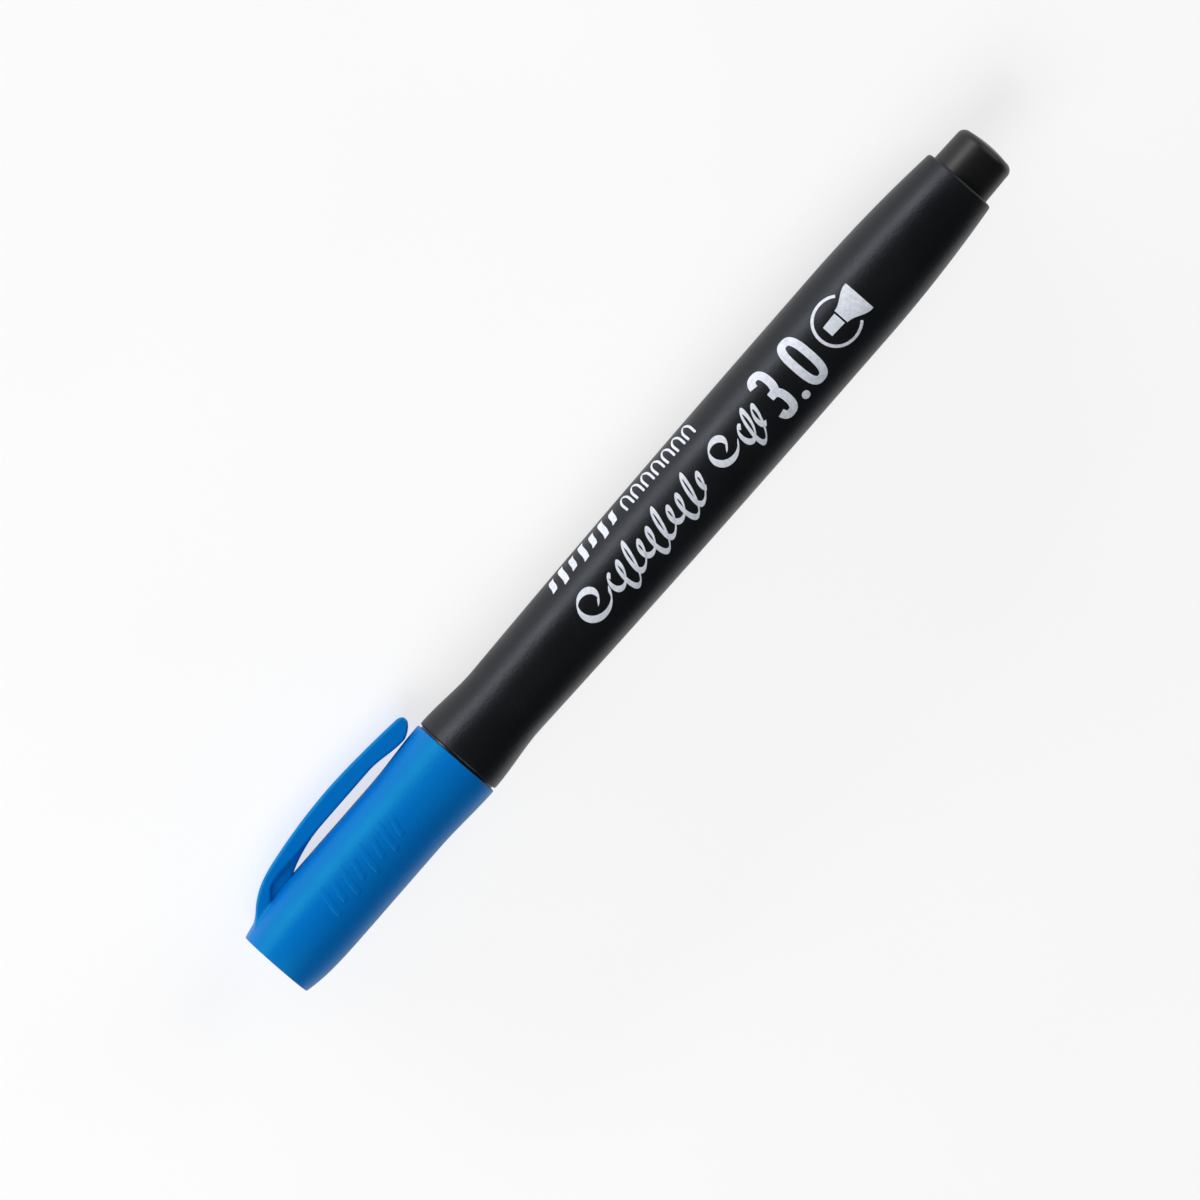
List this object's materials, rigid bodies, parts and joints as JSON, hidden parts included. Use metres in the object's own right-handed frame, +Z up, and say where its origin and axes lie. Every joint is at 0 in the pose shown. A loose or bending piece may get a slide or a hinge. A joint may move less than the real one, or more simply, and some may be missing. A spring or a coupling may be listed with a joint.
{
  "type": "calligraphy marker",
  "caption": "Broad-nib calligraphy marker with a waisted barrel and a push-on cap whose clip flexes; the cap slides off to bare a chisel nib.",
  "frame": {"origin": "centre of the cap's flat closed end", "axes": "+X along the pen's axis towards its tail, +Z up from the surface that the pen lies on, rolled so that the clip on the +Y side rests on that surface"},
  "size_m": [0.14, 0.016, 0.013],
  "materials": {
    "cap_blue": "satin moulded polypropylene, medium blue",
    "barrel_black": null,
    "plug_black": "moulded polypropylene, black",
    "holder_black": "moulded polypropylene, black",
    "liner_natural": "moulded polyethylene, natural",
    "nib_fibre": "bonded fibre, inked",
    "ink_fibre": "bundled fibre, soaked with ink",
    "sleeve_film": "clear film"
  },
  "bodies": {
    "barrel": {"barrel": "barrel_black", "tail_plug": "plug_black", "nib_holder": "holder_black", "nib": "nib_fibre", "reservoir_core": "ink_fibre", "reservoir_sleeve": "sleeve_film"},
    "cap": {"cap_shell": "cap_blue", "cap_liner": "liner_natural"},
    "clip": {"clip": "cap_blue"}
  },
  "joints": [
    {"name": "cap_pull", "type": "slide", "parent": "barrel", "child": "cap", "axis": [-1, 0, 0], "range_m": [0, 0.045]},
    {"name": "clip_flex", "type": "hinge", "parent": "cap", "child": "clip", "pos_m": [0.01105, 0.00682, -0.0038], "axis": [0, 0.4866, 0.8736], "range_deg": [0, 5], "stiffness_Nm_per_rad": 0.5}
  ]
}
